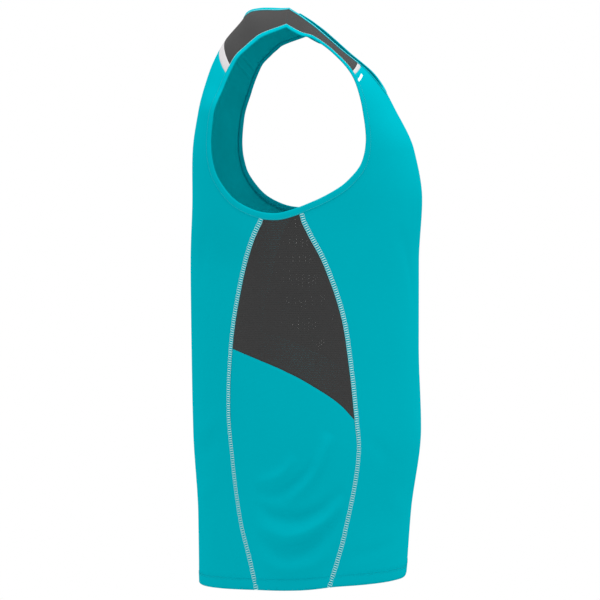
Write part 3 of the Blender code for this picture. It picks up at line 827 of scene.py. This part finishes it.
sidePiece = {**lined, "outside": bodyOut, "cell": 3.0, "groove": 0.5}
nettingPiece = {"outside": netOut, "inside": netOut, "wall": 0.8, "cell": 3.0, "groove": 0.5}
# its open holes, none nearer to an edge than the border. A face goes if its middle is not clear
# of a hole's, as a share of the radius. The lattice is upright on one side, so that the two
# sides don't line up
eyelets ={"pitch": 2.4, "radius": 0.27, "border": 3.2, "clear": 0.75}

for name, side in sides.items():

    def onSide(runs):
        return [(kind, np.asarray(run) * [side, 1]) for kind, run in runs]

    pieces["shoulder_" + name] = sewPiece("shoulder_cloth_" + name, yokePiece, onSide([
        ("seam", straight(armTop, neckTop)),
        ("tuck", part(neckFrontTuck, neckTop, ridgeNeckFront)),
        ("seam", straight(ridgeNeckFront, ridgeArmFront)),
        ("tuck", part(armFront, ridgeArmFront, armTop)),
    ]))
    pieces["front_strip_" + name] = sewPiece("front_tape_" + name, frontTape, onSide([
        ("seam", straight(armTop + lap, neckTop + lap)),
        ("tuck", straight(neckTop + lap, neckLow - lap)),
        ("seam", straight(neckLow - lap, armLow - lap)),
        ("tuck", straight(armLow - lap, armTop + lap)),
    ]))

    lowBack, highBack = inTwo(seamLine(seamBack, seamGap), netEdge[0][1])
    lowFront, highFront = inTwo(seamLine(seamFront, -seamGap), netEdge[-1][1])
    net = netEdge.copy()
    net[0], net[-1] = lowBack[-1], lowFront[-1]
    pieces["side_lower_" + name] = sewPiece("side_lower_cloth_" + name, sidePiece, onSide([
        ("hem", hemRun(lowFront[0], lowBack[0])),
        ("seam", lowBack),
        ("seam", net),
        ("seam", lowFront[::-1]),
    ]))
    pieces["side_mesh_" + name] = sewPiece("side_netting_" + name, nettingPiece, onSide([
        ("seam", net[::-1]),
        ("seam", highBack),
        ("tuck", part(armTuck[underArm], highBack[-1], highFront[-1])),
        ("seam", highFront[::-1]),
    ]), eyelets={**eyelets, "upright": name == "left"})
print("side panels made")

# the bands are strips folded over an edge. The section goes down the outside, round the edge and
# up the inside: (distance from the finished edge, height over the cloth), mm
band = {"width": 8.0, "wall": 0.42, "step": 2.6, "stand": 1.6, "standReach": 6}
bandSection = [
    (band["width"], 0.28), (band["width"] - 0.25, 0.46), (6.4, 0.54), (4.4, 0.58), (2.4, 0.56),
    (1.0, 0.42), (0.25, 0.05), (0.0, -0.52), (0.25, -1.1), (1.0, -1.48), (2.6, -1.6),
    (5.2, -1.62), (band["width"] - 0.3, -1.6),
]
# a whole round of each edge: (path, whether it is mirrored)
armRounds = {name: [(armEdge, side < 0)] for name, side in sides.items()}
neckRound = [(neckFrontEdge, False), (neckBackEdge, False),
             (neckBackEdge, True), (neckFrontEdge, True)]


def foldedBand(name, edges, stand=0.0):
    # stand is how far its edge stands up at the back of the neck, mm
    rows = []
    for path, turned in edges:
        count = round(lengthOf(path) / band["step"])
        share, at = np.linspace(0, 1, len(path)), np.linspace(0, 1, count + 1)[:-1]
        grids = []
        for reach, _ in bandSection:
            line = beside(path, -reach) if reach else path
            line = mirrored(line) if turned else line
            grids.append(rowsAt(line, at, share))
        rows.append(np.stack(grids, 1))
    grid = np.concatenate(rows)          # station, place in the section, (turn, height)
    turn, height = grid[..., 0], grid[..., 1]
    facing = facingAt(turn, height)
    base = formPoint(turn, height) + facing * creasePush(turn, height)[..., None]
    for _ in range(2):
        facing = unit(facing + 0.5 * np.roll(facing, 1, 0) + 0.5 * np.roll(facing, -1, 0))
    reach, lift = np.array(bandSection).T
    rise = stand * np.clip(1 - reach / band["standReach"], 0, 1)
    rise = rise * np.clip((ridge - height) / band["standReach"], 0, 1)
    rise = np.where(np.cos(np.radians(turn)) < 0, rise, 0)
    points = base + facing * (lift + rise)[..., None]
    stations, across = grid.shape[:2]
    crest = points[:, 4]            # along the top of its outside, where its length is measured
    runs = runAlong(np.vstack([crest, crest[:1]]))[:-1] / 1000
    girth = runAlong(points[0]) / 1000
    uvs =np.stack(np.broadcast_arrays(girth[None, :], runs[:, None]), -1).reshape(-1, 2)
    i, k = [index.ravel() for index in np.indices((stations, across - 1))]
    j = (i + 1) % stations
    faces = np.stack([i, i, j, j], 1) * across + np.stack([k, k + 1, k + 1, k], 1)
    points = points.reshape(-1, 3)
    a, b, c = [points[faces[2, n]] for n in range(3)]
    if np.cross(b - a, c - a) @ facing.reshape(-1, 3)[2] < 0:
        faces = faces[:, ::-1]
    obj = addMesh(name, points, faces, [bandOut], uvs)
    shell = obj.modifiers.new("Wall", "SOLIDIFY")
    shell.thickness, shell.offset = band["wall"] / 1000, -1
    return obj


for name, edges in armRounds.items():
    pieces["armhole_binding_" + name] = foldedBand("armhole_band_" + name, edges)
pieces["neck_binding"] = foldedBand("neck_band", neckRound, stand=band["stand"])
print("bands made")

# one stitch: how far along it, how thick there, and how high over the cloth. In a needle row it
# fills a share of its pitch, and its twist starts so many metres further on than the last one's
stitchProfile = np.array([(0, 0.35, -0.6), (0.1, 0.8, 0.0), (0.5, 1.0, 0.35), (0.9, 0.8, 0.0),
                          (1, 0.35, -0.6)])
stitch = {"sides": 6, "share": 0.86, "twist": 0.0031}


def sew(name, starts, ends, facings, width, height, material):
    # a row of stitches between pairs of points, mm
    run = ends - starts
    length = np.linalg.norm(run, axis=1)
    across = unit(np.cross(run, facings)) * width / 2
    along, size, rise = stitchProfile.T
    count, hoops, sides = len(starts), len(stitchProfile), stitch["sides"]
    angles = np.linspace(0, 2 * math.pi, sides, endpoint=False)
    wide, high = size[:, None] * np.cos(angles), size[:, None] * np.sin(angles) * height / 2
    centre = starts[:, None] + run[:, None] * along[:, None]
    centre = centre + facings[:, None] * (rise * height)[:, None]
    points = (centre[:, :, None] + across[:, None, None] * wide[None, :, :, None]
              + facings[:, None, None] * high[None, :, :, None])
    uvs = np.zeros((count, hoops, sides, 2))
    begins = np.arange(count)[:, None] * stitch["twist"]
    uvs[..., 0] = (begins + length[:, None] / 1000 * along)[..., None]
    uvs[..., 1] = np.arange(sides) / sides
    one = []
    for r in range(hoops - 1):
        for k in range(sides):
            n = (k + 1) % sides
            one.append((r * sides + k, (r + 1) * sides + k, (r + 1) * sides + n, r * sides + n))
    base = np.arange(count)[:, None, None] * hoops * sides
    faces = (base + np.array(one)).reshape(-1, 4).tolist()
    caps = [list(range(sides)), list(range((hoops - 1) * sides, hoops * sides))[::-1]]
    faces += [[i * hoops * sides + v for v in cap] for i in range(count) for cap in caps]
    return addMesh(name, points.reshape(-1, 3), faces, [material], uvs.reshape(-1, 2))


def needleRow(path, lift, size, chosen=slice(None)):
    # stitches along a path, with a gap after each
    points, facing = clothPoint(*path.T, lift), facingAt(*path.T)
    starts, ends = points[:-1], points[:-1] + stitch["share"] * (points[1:] - points[:-1])
    return starts[chosen], ends[chosen], facing[:-1][chosen], *size


def selectOnly(objs):
    bpy.ops.object.select_all(action="DESELECT")
    for obj in objs:
        obj.select_set(True)
    bpy.context.view_layer.objects.active = objs[0]


def joinRows(name, rows, material):
    # several rows of stitches as one piece
    objs = [sew(f"{name}_{k}", *row, material) for k, row in enumerate(rows)]
    selectOnly(objs)
    bpy.ops.object.join()
    objs[0].name = name
    return objs[0]


threads = []

# side seams: a ladder of rungs with a needle line down each side, its stitches (width, height),
# mm. It lies nearly on the seam below the first of two levels, and beside it above the second
ladder ={"pitch": 2.7, "half": 2.5, "rung": (1.0, 0.5), "needle": (0.28, 0.25), "lift": 0.12,
          "beside": {"front": 2.9, "back": -2.8}, "levels": [-515, -470], "shares": [0.1, 1],
          "bandGap": 0.5, "hemGap": 0.8}
ladderTop = beside(armEdge, -band["width"])


def flatlock(seam, offset, side):
    seam = evenly(seam, 900)
    seam = seam[seam[:, 1] < overEdge(seam[:, 0], ladderTop) - ladder["bandGap"]]
    share = np.interp(seam[:, 1], ladder["levels"], ladder["shares"])
    centre = seam + (beside(seam, offset) - seam) * share[:, None]
    first = int(np.argmax(centre[:, 1] > hemAt(centre[:, 0]) + ladder["hemGap"]))
    centre = centre[first:]
    centre = evenly(centre, int(lengthOf(centre) / ladder["pitch"]))
    facing = facingAt(*(centre * [side, 1]).T)
    rails = [clothPoint(*(beside(centre, reach) * [side, 1]).T, ladder["lift"])
             for reach in (ladder["half"], -ladder["half"])]
    needles = [(rail[:-1], rail[1:], facing[:-1], *ladder["needle"]) for rail in rails]
    return [(*rails, facing, *ladder["rung"]), *needles]


for name, side in sides.items():
    for place, seam in (("front", seamFront), ("back", seamBack)):
        rows = flatlock(seamLine(seam, 0), ladder["beside"][place], side)
        threads.append(joinRows(f"{place}_seam_thread_{name}", rows, paleThread))

# hem: two rows of needle stitches all round
hemRows = {"heights": (11.4, 13.2), "pitch": 2.7, "size": (0.5, 0.35), "lift": 0.1}
rows = []
for rise in hemRows["heights"]:
    path = hemRun((0, 0), (360, 0), count=1441) + [0, rise]
    count = round(lengthOf(path) / hemRows["pitch"])
    rows.append(needleRow(evenly(path, count), hemRows["lift"], hemRows["size"]))
threads.append(joinRows("hem_thread", rows, tealThread))

# bands: one row of stitches near the raw edge of each, coloured paler than the band to paint the
# highlight along its raised edge
bandRow = {"reach": 6.9, "pitch": 2.8, "size": (0.5, 0.35), "lift": 0.62}


def bandStitches(highlightThreadName, yokeHighlightThreadName, edges):
    # pale along the charcoal shoulder, and a lighter teal than the band elsewhere: real stitches
    # whose paler colour paints a highlight
    plain, yoke = [], []
    for path, turned in edges:
        line = beside(path, -bandRow["reach"])
        line = mirrored(line) if turned else line
        line = evenly(line, round(lengthOf(line) / bandRow["pitch"]))
        turn, height = line[:-1].T
        high = height > np.where(np.abs(turn) < 90, frontTape["neck"], backTape["arm"])
        for rows, chosen in ((plain, ~high), (yoke, high)):
            rows.append(needleRow(line, bandRow["lift"], bandRow["size"], chosen))
    threads.append(joinRows(highlightThreadName, plain, bandHighlightThread))
    threads.append(joinRows(yokeHighlightThreadName, yoke, paleThread))


for name, edges in armRounds.items():
    bandStitches("armhole_thread_" + name, "yoke_thread_" + name, edges)
bandStitches("neck_highlight_thread", "yoke_thread_neck", neckRound)
print("sewing made")

# what shows of each piece as cut flat, metres and square metres, and what it hangs from
Cut = namedtuple("Cut", "slot flat area hangsFrom held", defaults=["hung"])
# each piece with its modifiers applied, hung from the root and its solid hidden, then the threads
# hung from the root too
for node, obj in pieces.items():
    selectOnly([obj])
    for modifier in list(obj.modifiers):
        bpy.ops.object.modifier_apply(modifier=modifier.name)
    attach(obj, "root")
    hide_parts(node)
for obj in threads:
    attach(obj, "root")
made = [*pieces.values(), *threads]
triangles = sum(len(face.vertices) - 2 for obj in made for face in obj.data.polygons)
print(len(made), "pieces placed,", triangles, "triangles")

# a pale floor well below the hem, white all round, and a soft lamp overhead
floorSpec = {"size": 6, "height": -1.25, "colour": (0.77, 0.77, 0.77, 1), "roughness": 0.9}
lampSpec = {"place": (-0.25, -0.3, 2.2), "target": (0, 0, -0.2), "size": 2.0, "power": 50}

bpy.ops.mesh.primitive_plane_add(size=floorSpec["size"], location=(0, 0, floorSpec["height"]))
floor = bpy.context.object
floor.name = "floor"
paper, wire, surface = newMaterial("white_paper", floorSpec["roughness"], 0.0)
surface.inputs["Base Color"].default_value = floorSpec["colour"]
floor.data.materials.append(paper)

scene = bpy.context.scene
world = bpy.data.worlds.new("studio")
world.use_nodes = True
background = world.node_tree.nodes["Background"]
background.inputs["Color"].default_value = (1, 1, 1, 1)
background.inputs["Strength"].default_value = 1.0
scene.world = world
scene.view_settings.view_transform = "Standard"


def addAimed(name, data, place, toTarget):
    # a lamp or camera that looks along toTarget
    made = bpy.data.objects.new(name, data)
    made.location = place
    made.rotation_euler = toTarget.to_track_quat("-Z", "Y").to_euler()
    scene.collection.objects.link(made)
    return made


light = bpy.data.lights.new("top", "AREA")
light.shape, light.size, light.energy = "SQUARE", lampSpec["size"], lampSpec["power"]
addAimed("top", light, lampSpec["place"], Vector(lampSpec["target"]) - Vector(lampSpec["place"]))

# the photo's view: from the wearer's right, yaw degrees round to the front, and from above by
# 151 px where the lens is 3208.33 px long
view ={"target": (0, -0.007, -0.345), "yaw": 4.8, "rise": math.atan(151 / 3208.33),
        "distance": 3.85, "lens": 192.5, "sensor": 36}
yaw, rise = math.radians(view["yaw"]), view["rise"]
outward = Vector((-math.cos(yaw) * math.cos(rise), -math.sin(yaw) * math.cos(rise),
                  math.sin(rise)))
camera = bpy.data.cameras.new("camera")
camera.lens, camera.sensor_width = view["lens"], view["sensor"]
cameraPlace = Vector(view["target"]) + outward * view["distance"]
scene.camera = addAimed("camera", camera, cameraPlace, -outward)
print("stage set")
